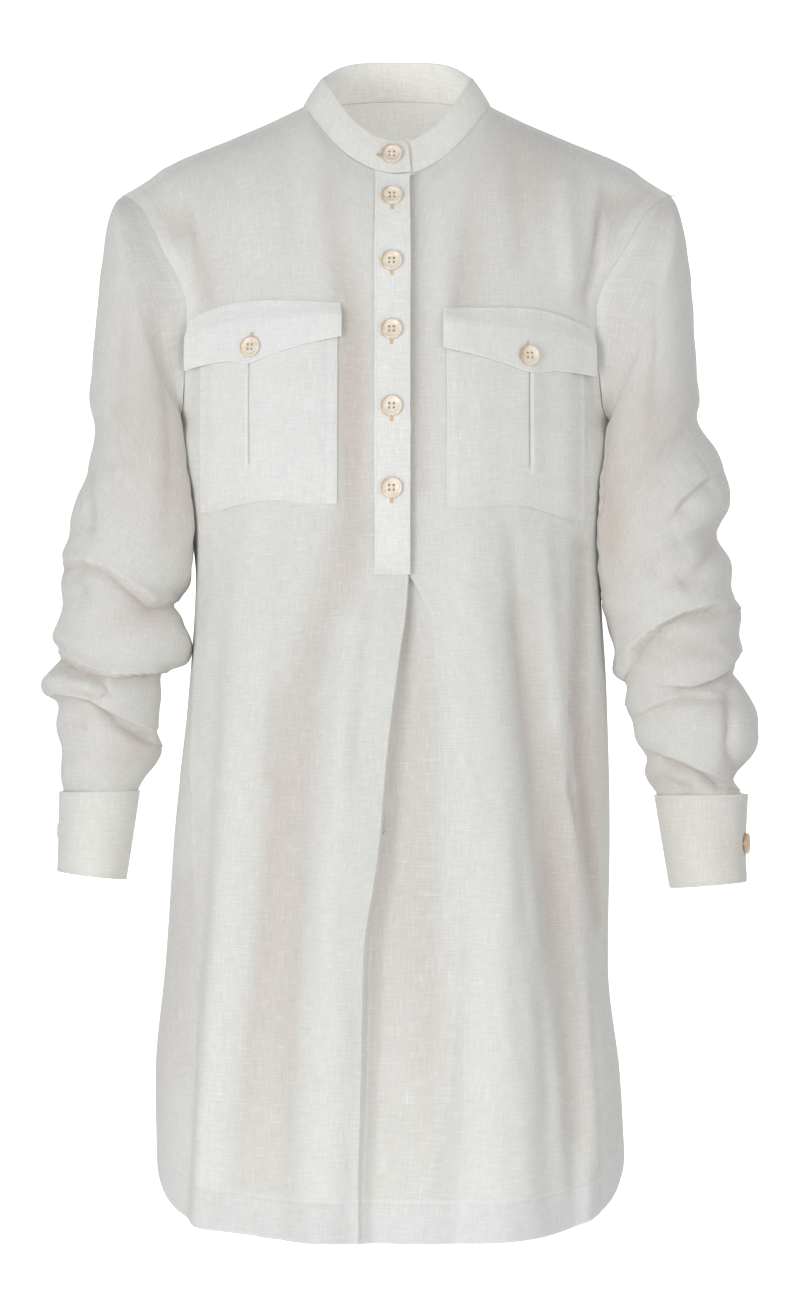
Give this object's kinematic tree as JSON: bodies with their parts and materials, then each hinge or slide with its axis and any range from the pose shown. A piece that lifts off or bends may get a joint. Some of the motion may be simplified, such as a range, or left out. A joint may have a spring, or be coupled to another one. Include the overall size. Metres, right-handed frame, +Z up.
{
  "type": "tunic blouse",
  "caption": "Long linen blouse with a band collar, half placket, flap chest pockets, cuffed long sleeves and a curved shirt-tail hem.",
  "frame": {"origin": "midway between the two points where the shoulder seams meet the collar, in front view at their height, where the garment hangs on the wearer's shoulders", "axes": "+X to the wearer's left arm, +Y to the back, +Z up; the buttoned front faces -Y"},
  "size_m": [0.5549, 0.2727, 0.9244],
  "materials": {
    "linen": "off-white plain-weave linen with fine slubs, a little see-through",
    "linen_doubled": "the same linen where it is doubled, brighter and less see-through",
    "button": "cream to amber, polished"
  },
  "bodies": {
    "root": {"back": "linen", "button_collar": "button", "button_cuff_left": "button", "button_cuff_right": "button", "button_flap_left": "button", "button_flap_right": "button", "button_placket_1": "button", "button_placket_2": "button", "button_placket_3": "button", "button_placket_4": "button", "button_placket_5": "button", "collar_band": "linen_doubled", "cuff_left": "linen_doubled", "cuff_right": "linen_doubled", "flap_left": "linen_doubled", "flap_right": "linen_doubled", "front": "linen", "hem_facing_back": "linen_doubled", "hem_facing_front": "linen_doubled", "placket_top": "linen_doubled", "placket_under": "linen", "pocket_left": "linen_doubled", "pocket_right": "linen_doubled", "sleeve_left": "linen", "sleeve_right": "linen"}
  },
  "joints": []
}
